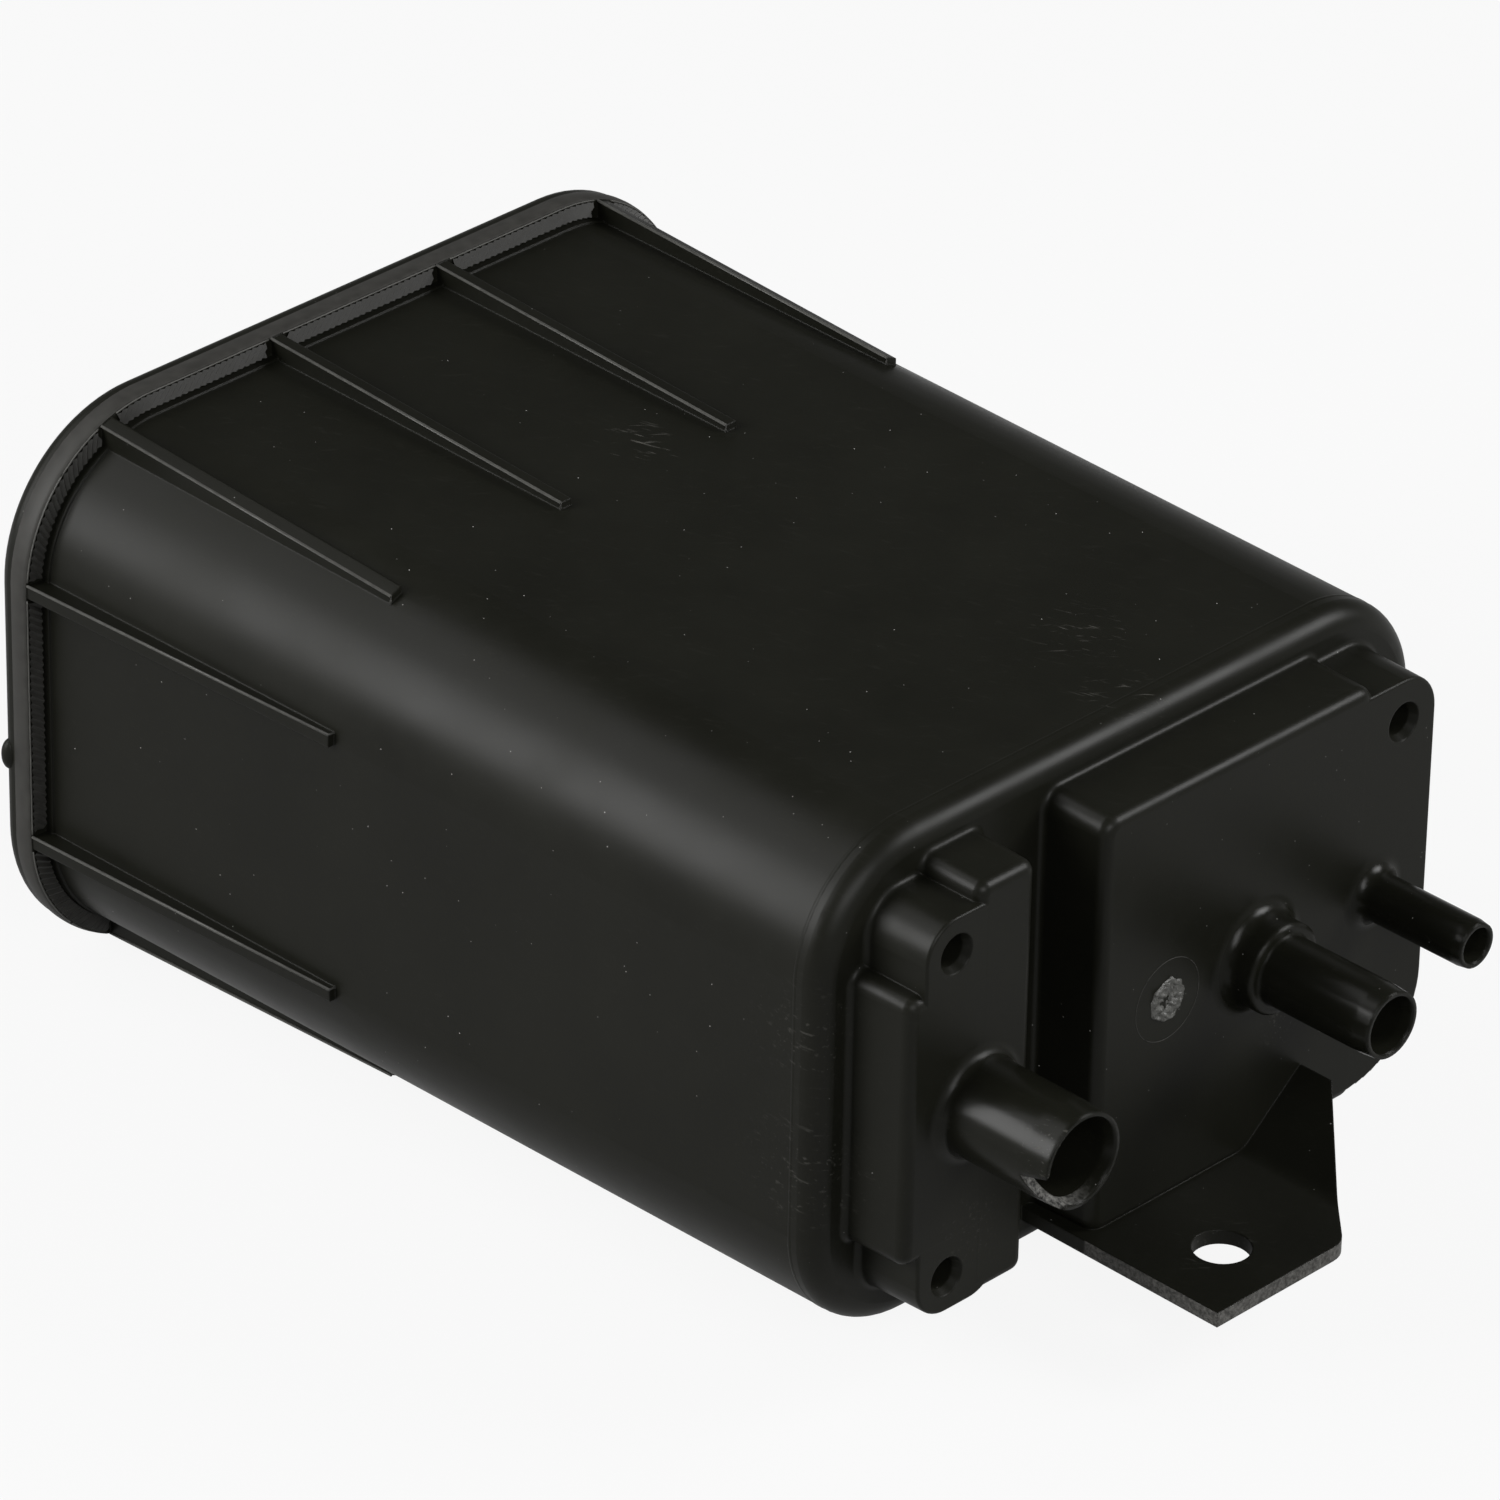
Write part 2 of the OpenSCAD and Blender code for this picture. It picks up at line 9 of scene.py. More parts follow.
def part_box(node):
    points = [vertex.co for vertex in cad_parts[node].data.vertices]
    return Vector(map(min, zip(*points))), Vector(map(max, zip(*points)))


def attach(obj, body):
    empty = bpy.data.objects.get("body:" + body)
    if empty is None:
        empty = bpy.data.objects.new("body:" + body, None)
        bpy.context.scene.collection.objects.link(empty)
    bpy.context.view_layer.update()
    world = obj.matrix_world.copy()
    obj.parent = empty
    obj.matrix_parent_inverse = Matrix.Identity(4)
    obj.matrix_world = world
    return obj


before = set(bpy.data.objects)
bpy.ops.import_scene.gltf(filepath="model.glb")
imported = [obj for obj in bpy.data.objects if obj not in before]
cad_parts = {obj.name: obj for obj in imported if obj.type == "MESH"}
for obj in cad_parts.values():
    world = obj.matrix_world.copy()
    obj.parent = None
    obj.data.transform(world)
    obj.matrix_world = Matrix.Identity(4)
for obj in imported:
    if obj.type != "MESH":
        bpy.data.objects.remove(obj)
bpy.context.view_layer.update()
scene = bpy.context.scene
MM = 0.001

# The drafted box, in millimetres from the middle of its front face
CORNER_R = 20.6
CORE_Y = 44.3
CORE_Z = 21.85
DRAFT = math.tan(math.radians(0.79))

# The flange and its ribs, whose places are counted in pitches from the middle
FLANGE_OUT = 3.35
FLANGE_T = 3.3
RIBS_Y = (-1.5, -0.5, 0.5, 1.5)
RIBS_Z = (-0.5, 0.5)
RIB_PITCH_Y = 35.6
RIB_PITCH_Z = 45.2
RIB_T = 2.2
RIB_LEN = 64.8
RIB_TIP_H = 1.2
RIB_CREST = FLANGE_OUT - 0.15

# The main block, the large port, the bracket plate and the moulding gate
MAIN_DEPTH = 12.5
VENT_Y = -43.6
VENT_TIP = 33.4
CHIP_DEPTH = 5.0
PLATE_FRONT = 40.0
PLATE_TOP = -34.4
PLATE_T = 2.5
HOLE_X = 28.3
HOLE_Y = -6.3
HOLE_R = 4.6
GATE_Y = -3.2
GATE_Z = 0.7

# Where the housing lies in the frame, and its flange along X from the front face
body_low, body_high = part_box("canister_body")
FRONT_X = body_high.x / MM - PLATE_FRONT
MID_Z = body_high.z / MM / 2
SEAM_X = body_low.x / MM - FRONT_X
REAR_X = SEAM_X + FLANGE_T

# Step between the points of a swept line, in millimetres
SWEEP_STEP = 0.8

# Waves per metre of the plastic's textures
PATCH_WAVES = 38.0
GRAIN_WAVES = 2600.0
CHIP_WAVES = 1500.0
SPECK_WAVES = 400.0

# Colours laid on the plastic, as one tone or as a dark and a pale one: marks, and painted light on the
# plate's sides
SCUFF_TONE = (0.078, 0.076, 0.068)
DUST_TONE = (0.36, 0.355, 0.34)
PLATE_SIDE_LIGHT_TONES = ((0.028, 0.0275, 0.025), (0.095, 0.093, 0.087))
TORN_TONES = ((0.015, 0.015, 0.014), (0.17, 0.167, 0.157))

# Roughness of worn plastic, how much smoother the ports are, and their softer edges in millimetres
WORN_ROUGH = 0.7
PORT_SMOOTHER = 0.14
PORT_SOFT = 0.6

# Where the housing is rubbed: a place in millimetres, how far the marks reach and how strong they are
SCUFFS = (
    ((-3.0, -64.9, -10.0), 14, 0.3),
    ((-3.7, -64.9, 13.0), 12, 0.25),
    ((-108.0, 4.0, 42.6), 9, 0.6),
    ((-22.0, 13.0, 42.6), 10, 0.5),
    ((-6.0, 5.0, 42.6), 9, 0.5),
    ((12.5, 22.7, -14.0), 6, 0.4),
    ((28.0, -6.0, -35.0), 11, 0.35),
    ((32.5, -49.5, 4.5), 6, 1.0),
    ((12.0, -44.0, -22.0), 9, 0.2),
)
WEAR_ELSEWHERE = 0.03

# Scratches: their turn, waves per metre along and across, and the noise where they start and are full
SCRATCHES = (
    ((0.1, 0.15, 0.35), 90, 1500, 0.6, 0.72),
    ((0.2, 0.1, 0.9), 110, 1400, 0.62, 0.74),
)

# Studio: strengths of the world and shares of the floor's white, the floor in metres
SKY = 0.09
HORIZON = 0.34
SKY_FROM = 0.48
HORIZON_TO = 0.02
SEEN_WHITE = 0.9
MIRRORED_WHITE = 0.28
FLOOR_TONE = 0.36
FLOOR_ROUGH = 0.9
FLOOR_SIZE = 6
FLOOR_Z = -0.0003

# Softboxes: the direction they stand in, then distance, width and height in metres, and watts
LAMP_AIM = (0, 0, 0.05)
SOFTBOXES = (
    ("left_softbox", (-0.42, -0.73, 0.40), 1.3, 0.7, 0.74, 19),
    ("upper_left_softbox", (-0.55, -0.30, 0.78), 1.3, 0.8, 0.7, 5),
    ("right_softbox", (0.55, 0.615, 0.565), 1.3, 0.5, 0.5, 14),
    ("front_fill", (0.76, -0.36, 0.52), 1.8, 1.1, 0.55, 19),
)


# Places and outlines
def x_at(x):
    """A place along X given from the front face in millimetres, in the frame's metres."""
    return (x + FRONT_X) * MM


def z_at(z):
    """A height given from the housing's middle in millimetres, in the frame's metres."""
    return (z + MID_Z) * MM


def at(x, y, z):
    """A point given from the middle of the front face in millimetres, in the frame's metres."""
    return Vector((x_at(x), y * MM, z_at(z)))


def wall_r(x):
    """Corner radius of the housing at a station along its length."""
    return CORNER_R - DRAFT * x


def outline(radius, step):
    """Points and outward directions round the rounded box whose corners have that radius."""
    points = []
    corners = ((CORE_Y, CORE_Z), (-CORE_Y, CORE_Z), (-CORE_Y, -CORE_Z), (CORE_Y, -CORE_Z))
    for i, (y, z) in enumerate(corners):
        start = 90 * i
        count = max(2, round(radius * math.pi / 2 / step))
        for k in range(count):
            angle = math.radians(start + 90 * k / count)
            ny, nz = math.cos(angle), math.sin(angle)
            points.append((y + radius * ny, z + radius * nz, ny, nz))
        angle = math.radians(start + 90)
        ny, nz = math.cos(angle), math.sin(angle)
        next_y, next_z = corners[(i + 1) % len(corners)]
        count = max(2, round(math.hypot(next_y - y, next_z - z) / step))
        for k in range(count):
            share = k / count
            side_y = y + (next_y - y) * share
            side_z = z + (next_z - z) * share
            points.append((side_y + radius * ny, side_z + radius * nz, ny, nz))
    return points


# Shader nodes
class Shade:
    """The nodes of a material or of the world, with short ways to add and join them."""

    def __init__(self, tree):
        self.nodes = tree.nodes
        self.links = tree.links

    def add(self, kind, **values):
        """A node with its settings and input values."""
        node = self.nodes.new(kind)
        for key, value in values.items():
            if key in node.inputs:
                node.inputs[key].default_value = value
            else:
                setattr(node, key, value)
        return node

    def feed(self, socket, value):
        """Give an input another node's output, a colour or a number."""
        if isinstance(value, bpy.types.NodeSocket):
            self.links.new(value, socket)
        elif isinstance(value, tuple):
            socket.default_value = (*value, 1)
        else:
            socket.default_value = value

    def place(self):
        """The place on the part, in its own metres."""
        return self.nodes.new("ShaderNodeTexCoord").outputs["Object"]

    def split(self, vector):
        """The three parts of a vector."""
        node = self.nodes.new("ShaderNodeSeparateXYZ")
        self.links.new(vector, node.inputs[0])
        return node.outputs

    def texture(self, kind, place, **values):
        """A texture node that reads a place."""
        node = self.add(kind, **values)
        self.links.new(place, node.inputs["Vector"])
        return node

    def cloud(self, place, waves, detail, rough):
        """Noise with so many waves for each unit of the place."""
        node = self.texture("ShaderNodeTexNoise", place, Scale=waves, Detail=detail, Roughness=rough)
        return node.outputs["Fac"]

    def ramp(self, source, low, high, first, last):
        """A colour that runs from the first, where the source is low, to the last, where it is high."""
        node = self.nodes.new("ShaderNodeValToRGB")
        start, end = node.color_ramp.elements
        start.position = low
        end.position = high
        start.color = (*first, 1)
        end.color = (*last, 1)
        self.links.new(source, node.inputs["Fac"])
        return node.outputs["Color"]

    def calc(self, operation, first, second):
        """The result of one sum on two outputs or numbers."""
        node = self.add("ShaderNodeMath", operation=operation)
        self.feed(node.inputs[0], first)
        self.feed(node.inputs[1], second)
        return node.outputs[0]

    def times(self, first, *others):
        """The product of outputs or numbers."""
        for other in others:
            first = self.calc("MULTIPLY", first, other)
        return first

    def most(self, first, *others):
        """The largest of several outputs."""
        for other in others:
            first = self.calc("MAXIMUM", first, other)
        return first

    def fade(self, source, zero, one):
        """Zero where the source is at one value, one where it is at the other, smooth between."""
        node = self.add("ShaderNodeMapRange", interpolation_type="SMOOTHSTEP")
        self.links.new(source, node.inputs["Value"])
        node.inputs["From Min"].default_value = zero
        node.inputs["From Max"].default_value = one
        return node.outputs["Result"]

    def spot(self, place, centre, radius, core=0.2):
        """One in the core of a ball on the part, falling to zero at its radius in millimetres."""
        gap = self.add("ShaderNodeVectorMath", operation="DISTANCE")
        self.links.new(place, gap.inputs[0])
        gap.inputs[1].default_value = at(*centre)
        return self.fade(gap.outputs["Value"], zero=radius * MM, one=radius * MM * core)

    def blend(self, factor, first, second):
        """A colour mixed from the first to the second, each an output or a colour."""
        colour_in, colour_out = (6, 7), 2
        node = self.add("ShaderNodeMix", data_type="RGBA", blend_type="MIX")
        self.links.new(factor, node.inputs[0])
        for number, value in zip(colour_in, (first, second)):
            self.feed(node.inputs[number], value)
        return node.outputs[colour_out]

    def bump(self, height, strength, distance):
        """A bump node with its height."""
        node = self.add("ShaderNodeBump", Strength=strength, Distance=distance)
        self.links.new(height, node.inputs["Height"])
        return node


def new_material(name):
    """A node material, its nodes and its principled shader."""
    mat = bpy.data.materials.new(name)
    mat.use_nodes = True
    return mat, Shade(mat.node_tree), mat.node_tree.nodes["Principled BSDF"]


def grey(level):
    """A colour without hue."""
    return (level, level, level)


def scaled(tone, factor):
    """A colour made darker or lighter."""
    return tuple(factor * part for part in tone)


# Marks on the plastic
def scratches(shade, place):
    """Fine scratches that run two ways, plain where the part is rubbed and faint elsewhere."""
    streaks = []
    for turn, along, across, start, full in SCRATCHES:
        stretch = (1 / along, 1 / across, 1 / across)
        turned = shade.texture("ShaderNodeMapping", place, vector_type="TEXTURE",
                               Rotation=turn, Scale=stretch)
        lines = shade.cloud(turned.outputs[0], waves=1.0, detail=3.0, rough=0.6)
        streaks.append(shade.fade(lines, zero=start, one=full))
    rubbed = []
    for centre, reach, strength in SCUFFS:
        rubbed.append(shade.times(shade.spot(place, centre, reach), strength))
    wear = shade.calc("ADD", shade.most(*rubbed), WEAR_ELSEWHERE)
    return shade.times(shade.most(*streaks), wear)


def chipped_lip(shade, place, axes, facing):
    """One on the broken face of the large port's lip."""
    left, below, reach = 6.5, 3.8, 11
    near_tip, off_tip = 0.15, 0.3
    centre = (VENT_TIP - CHIP_DEPTH / 2, VENT_Y - left, -below)
    forward = shade.fade(facing[0], zero=0.15, one=0.3)
    behind_tip = shade.fade(axes[0], zero=x_at(VENT_TIP - near_tip), one=x_at(VENT_TIP - off_tip))
    return shade.times(shade.spot(place, centre, reach), forward, behind_tip)


def plate_side_light(shade, place, axes, facing):
    """One on the upright sides of the bracket plate, whose lit look is painted pale and mottled, but not
    inside its hole.
    """
    over_top, at_top = 0.5, 0.1
    by_block, past_block = 0.2, 0.8
    hole_room, hole_core = 1.2, 0.88
    upright = shade.fade(shade.calc("ABSOLUTE", facing[2], 0), zero=0.6, one=0.3)
    low = shade.fade(axes[2], zero=z_at(PLATE_TOP + over_top), one=z_at(PLATE_TOP + at_top))
    ahead = shade.fade(axes[0], zero=x_at(MAIN_DEPTH + by_block), one=x_at(MAIN_DEPTH + past_block))
    middle = (HOLE_X, HOLE_Y, PLATE_TOP - PLATE_T / 2)
    hole = shade.spot(place, middle, HOLE_R + hole_room, hole_core)
    return shade.times(upright, low, ahead, shade.calc("SUBTRACT", 1, hole))


def dust_specks(shade, place):
    """Scattered specks of dust, some fainter than others."""
    cells = shade.texture("ShaderNodeTexVoronoi", place, Scale=SPECK_WAVES, Randomness=1.0)
    chance = shade.nodes.new("ShaderNodeSeparateColor")
    shade.links.new(cells.outputs["Color"], chance.inputs[0])
    near = shade.fade(cells.outputs["Distance"], zero=0.05, one=0.022)
    return shade.times(near, shade.fade(chance.outputs[0], zero=0.3, one=1.0))


def port_area(shade, axes):
    """One in front of the blocks, above the bracket's level."""
    by_block, past_block = 0.1, 0.5
    bracket, tubes = -15, -12
    ahead = shade.fade(axes[0], zero=x_at(MAIN_DEPTH + by_block), one=x_at(MAIN_DEPTH + past_block))
    return shade.times(ahead, shade.fade(axes[2], zero=z_at(bracket), one=z_at(tubes)))


# Materials
def plastic(name, tone, rough, spec, edge):
    """Satin black moulded plastic with fine grain, dull patches, scuffs, specks of dust and soft edges."""
    mat, shade, shader = new_material(name)
    shader.inputs["Specular IOR Level"].default_value = spec
    place = shade.place()
    axes = shade.split(place)
    facing = shade.split(shade.nodes.new("ShaderNodeNewGeometry").outputs["Normal"])
    patch = shade.cloud(place, PATCH_WAVES, detail=5.0, rough=0.6)
    grain = shade.cloud(place, GRAIN_WAVES, detail=2.0, rough=0.5)
    chips = shade.cloud(place, CHIP_WAVES, detail=4.0, rough=0.7)
    scuff = scratches(shade, place)
    broken = chipped_lip(shade, place, axes, facing)
    lit_plate_side = plate_side_light(shade, place, axes, facing)
    port = port_area(shade, axes)

    # The colour, with painted light on the plate's sides and the marks laid over it one by one
    base = shade.ramp(patch, low=0.35, high=0.7, first=scaled(tone, 0.88), last=scaled(tone, 1.14))
    base = shade.blend(lit_plate_side, base, shade.ramp(chips, 0.38, 0.66, *PLATE_SIDE_LIGHT_TONES))
    base = shade.blend(scuff, base, SCUFF_TONE)
    base = shade.blend(broken, base, shade.ramp(chips, 0.4, 0.66, *TORN_TONES))
    base = shade.blend(dust_specks(shade, place), base, DUST_TONE)
    shade.links.new(base, shader.inputs["Base Color"])

    # The ports came off a polished part of the mould, and worn places are dull
    finish = shade.ramp(patch, low=0.3, high=0.75, first=grey(rough - 0.05), last=grey(rough + 0.07))
    finish = shade.blend(port, finish, grey(rough - PORT_SMOOTHER))
    finish = shade.blend(shade.most(scuff, broken), finish, grey(WORN_ROUGH))
    shade.links.new(finish, shader.inputs["Roughness"])

    # Soft edges under a fine grain, with the broken lip rougher
    soft = shade.add("ShaderNodeBevel", samples=6)
    radius = shade.calc("ADD", shade.times(port, PORT_SOFT * MM), edge * MM)
    shade.links.new(radius, soft.inputs["Radius"])
    grain_share = 0.06
    rise = shade.calc("ADD", shade.times(grain, grain_share), shade.times(chips, broken))
    bump = shade.bump(rise, strength=0.6, distance=0.2 * MM)
    shade.links.new(soft.outputs[0], bump.inputs["Normal"])
    shade.links.new(bump.outputs["Normal"], shader.inputs["Normal"])
    return mat


def simple_material(name, tone, rough, waves, depth, metal=0.0, spec=0.5):
    """A material with small variation in its colour, gloss and surface, whose depth is in millimetres."""
    mat, shade, shader = new_material(name)
    shader.inputs["Metallic"].default_value = metal
    shader.inputs["Specular IOR Level"].default_value = spec
    cloud = shade.cloud(shade.place(), waves, detail=4.0, rough=0.5)
    low, high = 0.3, 0.7
    base = shade.ramp(cloud, low, high, first=scaled(tone, 0.8), last=scaled(tone, 1.15))
    shade.links.new(base, shader.inputs["Base Color"])
    finish = shade.ramp(cloud, low, high, first=grey(rough), last=grey(min(1, rough + 0.1)))
    shade.links.new(finish, shader.inputs["Roughness"])
    bump = shade.bump(cloud, strength=0.5, distance=depth * MM)
    shade.links.new(bump.outputs["Normal"], shader.inputs["Normal"])
    return mat


SHELL = plastic("shell_plastic", (0.0059, 0.0060, 0.0042), rough=0.38, spec=0.115, edge=0.4)
CAP = plastic("cap_plastic", (0.0063, 0.0064, 0.0046), rough=0.40, spec=0.115, edge=0.5)
CARBON = simple_material("carbon_pellets", (0.012, 0.012, 0.012), rough=0.8, waves=450, depth=0.8)
FLEECE = simple_material("filter_fleece", (0.62, 0.61, 0.57), rough=0.95, waves=1800, depth=0.3)
GRID = simple_material("grid_plastic", (0.06, 0.06, 0.06), rough=0.5, waves=900, depth=0.1)
WIRE = simple_material("spring_wire", (0.5, 0.5, 0.51), rough=0.3, waves=700, depth=0.05, metal=1.0)
# The teeth's paler colour paints the grey sheen that light gives their fine ridges
TEETH_SHEEN = simple_material("matt_teeth_painted_sheen", (0.026, 0.0255, 0.023), rough=0.5, waves=900, depth=0.05, spec=0.35)
# The rim's paler colour is painted sheen, standing in for the light along the rim; the gate's ring uses it
# too
RIM_SHEEN = simple_material("rim_painted_sheen", (0.025, 0.0243, 0.022), rough=0.5, waves=500, depth=0.04, spec=0.2)
# A paler colour that paints the bright highlight along thin edges
EDGE_HIGHLIGHT = simple_material("edge_painted_highlight", (0.055, 0.0545, 0.05), rough=0.42, waves=600, depth=0.03, spec=0.25)
GATE = simple_material("torn_gate", (0.058, 0.058, 0.053), rough=0.34, waves=1700, depth=0.7)

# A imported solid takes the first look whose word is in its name
LOOKS = (
    ("canister_body", SHELL),
    ("end_cap", CAP),
    ("bed", CARBON),
    ("filter", FLEECE),
    ("plate", GRID),
    ("spring", WIRE),
)
for name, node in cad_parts.items():
    look = next(material for word, material in LOOKS if word in name)
    node.data.materials.clear()
    node.data.materials.append(look)


# Trim on the housing
def make_piece(name, verts, faces, material, smooth=True):
    """A mesh piece that rides with the part."""
    mesh = bpy.data.meshes.new(name)
    mesh.from_pydata(verts, [], faces)
    mesh.update()
    if smooth:
        mesh.polygons.foreach_set("use_smooth", [True] * len(mesh.polygons))
    piece = bpy.data.objects.new(name, mesh)
    scene.collection.objects.link(piece)
    piece.data.materials.append(material)
    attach(piece, "root")


def bead_line(name, lines, radius, material):
    """Thin round beads along lines of points in millimetres, in one piece."""
    sides = 8
    verts, faces = [], []
    for points in lines:
        first = len(verts)
        places = [Vector(point) for point in points]
        for k, here in enumerate(places):
            way = (places[min(k + 1, len(places) - 1)] - places[max(k - 1, 0)]).normalized()
            side = way.orthogonal().normalized()
            other = way.cross(side)
            for j in range(sides):
                angle = 2 * math.pi * j / sides
                verts.append(at(*(here + radius * (math.cos(angle) * side + math.sin(angle) * other))))
        for k in range(len(places) - 1):
            base = first + k * sides
            for j in range(sides):
                after = (j + 1) % sides
                faces.append((base + j, base + after, base + sides + after, base + sides + j))
        faces.append(tuple(first + j for j in reversed(range(sides))))
        faces.append(tuple(len(verts) - sides + j for j in range(sides)))
    make_piece(name, verts, faces, material)


def ring_band(name, stations, material):
    """A band swept round the housing: each station is a place along X and a height above the wall."""
    verts, faces = [], []
    base = outline(CORNER_R, SWEEP_STEP)
    count = len(base)
    for x, rise in stations:
        grow = wall_r(x) + rise - CORNER_R
        for y, z, ny, nz in base:
            verts.append(at(x, y + ny * grow, z + nz * grow))
    for station in range(len(stations) - 1):
        for k in range(count):
            here = station * count + k
            after = station * count + (k + 1) % count
            faces.append((here, after, after + count, here + count))
    make_piece(name, verts, faces, material)


def by_rib(y, z, ny, nz, room):
    """Whether a place on the flange, with its outward direction, is at a rib."""
    reach = RIB_T / 2 + room
    mostly = 0.5
    over = any(abs(y - i * RIB_PITCH_Y) < reach for i in RIBS_Y)
    beside = any(abs(z - i * RIB_PITCH_Z) < reach for i in RIBS_Z)
    return (over and abs(nz) > mostly) or (beside and abs(ny) > mostly)


def flange_teeth():
    """Rows of fine teeth on the flange's front ledge, left out at the ribs, in a paler colour that paints
    their sheen.
    """
    pitch, height, foot, rows = 1.3, 0.45, 0.03, 3
    inner, outer = 0.45, FLANGE_OUT - 0.3
    points = outline(wall_r(REAR_X) + FLANGE_OUT, pitch / 2)
    verts, faces = [], []
    for k, (y, z, ny, nz) in enumerate(points):
        for row in range(rows + 1):
            depth = FLANGE_OUT - (outer + (inner - outer) * row / rows)
            rise = height if (k + row) % 2 else foot
            verts.append(at(REAR_X + rise, y - ny * depth, z - nz * depth))
        after = (k + 1) % len(points)
        if by_rib(y, z, ny, nz, pitch / 2) or by_rib(*points[after], pitch / 2):
            continue
        for row in range(rows):
            here = k * (rows + 1) + row
            there = after * (rows + 1) + row
            faces.append((here, here + 1, there + 1, there))
    make_piece("flange_teeth", verts, faces, TEETH_SHEEN, smooth=False)


def flange_crest():
    """A thin bead on the flange's front edge, paler to paint its highlight, broken at the ribs."""
    bead, inset, proud, rib_room = 0.14, 0.12, 0.02, 0.1
    runs = [[]]
    for y, z, ny, nz in outline(wall_r(REAR_X) + FLANGE_OUT - inset, SWEEP_STEP):
        if by_rib(y, z, ny, nz, rib_room):
            runs.append([])
        else:
            runs[-1].append((REAR_X + proud, y, z))
    bead_line("flange_crest", [run for run in runs if len(run) > 1], bead, EDGE_HIGHLIGHT)


def skin(core, radius, beyond):
    """How far out the rounded box reaches at a place that lies beyond the start of its corner."""
    return core + math.sqrt(radius * radius - beyond * beyond)


def rib_edges():
    """A thin bead along each rib's crest edge and down its tip, paler to paint its highlight."""
    bead = 0.24
    tip = REAR_X + RIB_LEN
    path = ((REAR_X, wall_r(REAR_X) + RIB_CREST), (tip, wall_r(tip) + RIB_TIP_H), (tip, wall_r(tip)))
    lines = []
    for i in RIBS_Y:
        y = i * RIB_PITCH_Y - RIB_T / 2
        beyond = max(0.0, abs(y) - CORE_Y)
        for way in (1, -1):
            lines.append([(x, y, way * skin(CORE_Z, radius, beyond)) for x, radius in path])
    for i in RIBS_Z:
        z = i * RIB_PITCH_Z + RIB_T / 2
        beyond = max(0.0, abs(z) - CORE_Z)
        for way in (1, -1):
            lines.append([(x, way * skin(CORE_Y, radius, beyond), z) for x, radius in path])
    bead_line("rib_edges", lines, bead, EDGE_HIGHLIGHT)


def gate_ring():
    """The fine ring round the place where the plastic was let into the mould."""
    radius, bead, turns = 6.9, 0.07, 72
    circle = []
    for k in range(turns + 1):
        angle = 2 * math.pi * k / turns
        circle.append((MAIN_DEPTH, GATE_Y + radius * math.cos(angle), GATE_Z + radius * math.sin(angle)))
    # The ring is drawn in the rim's paler colour, which paints a sheen
    bead_line("gate_ring", [circle], bead, RIM_SHEEN)


def gate_stub():
    """The torn stub in the ring, lumpy, with a pit beside its middle and a ragged edge."""
    radius, rows, around = 3.6, 16, 56
    ragged, edge_waves, edge_layer = 0.12, 3, 5
    lump_height, lump_waves, lump_layer, octaves = 0.55, 1.5, 1.7, 4
    pit_depth, pit_left, pit_squash, pit_spread = 0.45, 0.4, 0.6, 0.8
    level, lowest, sunk = 0.32, 0.02, 0.03
    verts, faces = [], []
    for i in range(rows + 1):
        for j in range(around):
            angle = 2 * math.pi * j / around
            across, up = math.cos(angle), math.sin(angle)
            wobble = noise.noise(Vector((edge_waves * across, edge_waves * up, edge_layer)))
            reach = radius * (1 + ragged * wobble) * i / rows
            y, z = reach * across, reach * up
            lump = noise.fractal(Vector((y * lump_waves, z * lump_waves, lump_layer)), 1.0, 2.0, octaves)
            pit = math.exp(-((y + pit_left) ** 2 + (pit_squash * z) ** 2) / pit_spread)
            rise = max(lowest, level + lump_height * lump - pit_depth * pit) if i < rows else 0
            verts.append(at(MAIN_DEPTH - sunk + rise, GATE_Y + y, GATE_Z + z))
    for i in range(rows):
        for j in range(around):
            after = (j + 1) % around
            inner, outer = i * around, (i + 1) * around
            faces.append((inner + j, outer + j, outer + after, inner + after))
    make_piece("gate_stub", verts, faces, GATE)


def rim_weld():
    """The slightly swollen welded rim over the flange and the cap's edge, in a paler colour that paints its
    sheen.
    """
    flange = wall_r(REAR_X) + FLANGE_OUT
    shape = ((-0.1, -0.1), (-0.25, 0.08), (-0.7, 0.2), (-1.5, 0.28), (-2.4, 0.25), (-3.3, 0.1), (-4.1, -0.12))
    stations = [(REAR_X + x, flange - wall_r(REAR_X + x) + rise) for x, rise in shape]
    ring_band("rim_weld", stations, RIM_SHEEN)


def rim_nub():
    """A small moulded nub on the left of the cap's rim."""
    behind_seam, sunk, below = 2.0, 0.6, 8.7
    reach = (1.4, 1.5, 2.7)
    around, rings = 24, 14
    rim_y = CORE_Y + wall_r(REAR_X) + FLANGE_OUT
    middle = (SEAM_X - behind_seam, sunk - rim_y, -below)
    ball = bmesh.new()
    bmesh.ops.create_uvsphere(ball, u_segments=around, v_segments=rings, radius=1)
    ball.verts.index_update()
    verts = [at(*(m + r * c for m, r, c in zip(middle, reach, vert.co))) for vert in ball.verts]
    faces = [[vert.index for vert in face.verts] for face in ball.faces]
    ball.free()
    make_piece("rim_nub", verts, faces, CAP)


def witness_line():
    """A fine raised line round the housing near its front."""
    stations = ((-5.4, -0.03), (-5.1, 0.05), (-4.9, 0.05), (-4.6, -0.03))
    ring_band("witness_line", stations, SHELL)


flange_teeth()
flange_crest()
rib_edges()
gate_ring()
gate_stub()
rim_weld()
rim_nub()
witness_line()


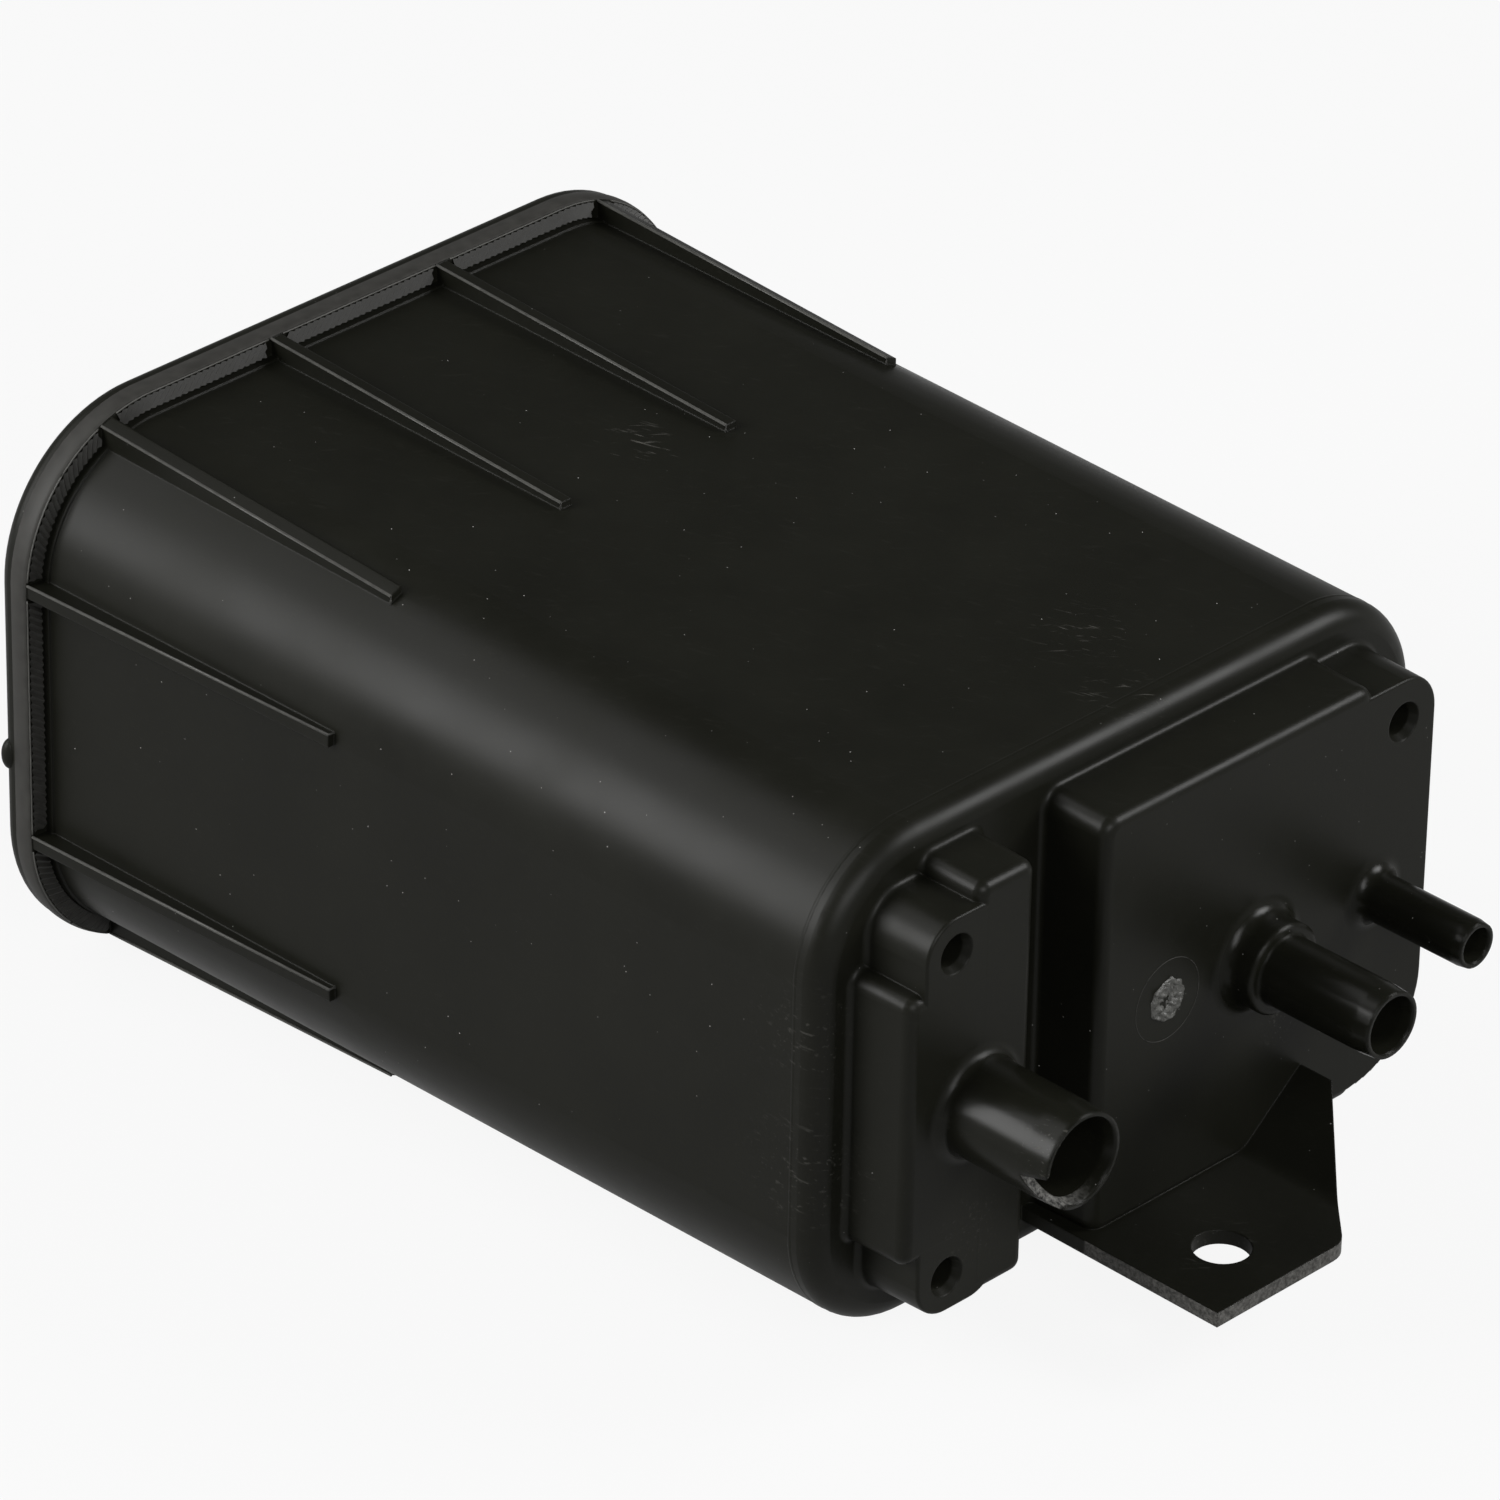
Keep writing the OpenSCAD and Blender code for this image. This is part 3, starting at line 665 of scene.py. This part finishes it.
# Studio
def build_world():
    """A dim white world that grows brighter towards the horizon."""
    world = bpy.data.worlds.new("studio")
    scene.world = world
    world.use_nodes = True
    shade = Shade(world.node_tree)
    sky = shade.nodes["Background"]
    sky.inputs["Color"].default_value = (1, 1, 1, 1)
    way = shade.split(shade.nodes.new("ShaderNodeTexCoord").outputs["Generated"])
    low = shade.fade(way[2], zero=SKY_FROM, one=HORIZON_TO)
    level = shade.calc("ADD", shade.times(low, HORIZON - SKY), SKY)
    shade.links.new(level, sky.inputs["Strength"])


def floor_share(shade):
    """How much of the floor's white a ray sees: most from the camera, less in a reflection or glass."""
    path = shade.nodes.new("ShaderNodeLightPath").outputs
    bent = shade.most(path["Is Glossy Ray"], path["Is Transmission Ray"])
    seen = shade.times(path["Is Camera Ray"], SEEN_WHITE)
    return shade.most(seen, shade.times(bent, MIRRORED_WHITE))


def build_floor():
    """A pale floor that shows white and keeps the object's shadow."""
    bpy.ops.mesh.primitive_plane_add(size=FLOOR_SIZE, location=(0, 0, FLOOR_Z))
    floor = bpy.context.object
    floor.name = "floor"
    mat, shade, shader = new_material("floor_white")
    shader.inputs["Base Color"].default_value = (*grey(FLOOR_TONE), 1)
    shader.inputs["Roughness"].default_value = FLOOR_ROUGH
    shader.inputs["Specular IOR Level"].default_value = 0.0
    glow = shade.add("ShaderNodeEmission", Color=(1, 1, 1, 1), Strength=1.0)
    mix = shade.nodes.new("ShaderNodeMixShader")
    shade.links.new(floor_share(shade), mix.inputs["Fac"])
    shade.links.new(shader.outputs[0], mix.inputs[1])
    shade.links.new(glow.outputs[0], mix.inputs[2])
    shade.links.new(mix.outputs[0], shade.nodes["Material Output"].inputs["Surface"])
    floor.data.materials.append(mat)


def area_light(name, direction, distance, width, height, power):
    """A softbox that faces the object's middle from that direction."""
    data = bpy.data.lights.new(name, "AREA")
    data.shape = "RECTANGLE"
    data.size = width
    data.size_y = height
    data.energy = power
    lamp = bpy.data.objects.new(name, data)
    scene.collection.objects.link(lamp)
    way = Vector(direction).normalized()
    lamp.location = Vector(LAMP_AIM) + way * distance
    lamp.rotation_mode = "QUATERNION"
    lamp.rotation_quaternion = way.to_track_quat("Z", "Y")


def build_camera():
    """The photograph's camera: direction, roll, distance and the aim's offset in its own axes."""
    azimuth, elevation, roll = math.radians(44.34), math.radians(30.72), math.radians(1.11)
    distance, aim_x, aim_y = 1532.13, 56.39, -31.87
    focal_px, image_px, sensor = 10223.37, 1500, 36.0
    origin_y, origin_z = 1.3, -0.4
    nearest, farthest = 0.05, 50
    flat = math.cos(elevation)
    back = Vector((math.sin(azimuth) * flat, -math.cos(azimuth) * flat, math.sin(elevation)))
    level = Vector((math.cos(azimuth), math.sin(azimuth), 0))
    rise = back.cross(level)
    right = math.cos(roll) * level + math.sin(roll) * rise
    up = -math.sin(roll) * level + math.cos(roll) * rise
    stand = distance * back - aim_x * right - aim_y * up
    data = bpy.data.cameras.new("camera")
    data.sensor_width = sensor
    data.lens = sensor * focal_px / image_px
    data.clip_start = nearest
    data.clip_end = farthest
    camera = bpy.data.objects.new("camera", data)
    scene.collection.objects.link(camera)
    turn = Matrix((right, up, back)).transposed()
    shift = at(stand.x, stand.y + origin_y, stand.z + origin_z)
    camera.matrix_world = Matrix.Translation(shift) @ turn.to_4x4()
    scene.camera = camera


scene.view_settings.view_transform = "Standard"
build_world()
build_floor()
for softbox in SOFTBOXES:
    area_light(*softbox)
build_camera()
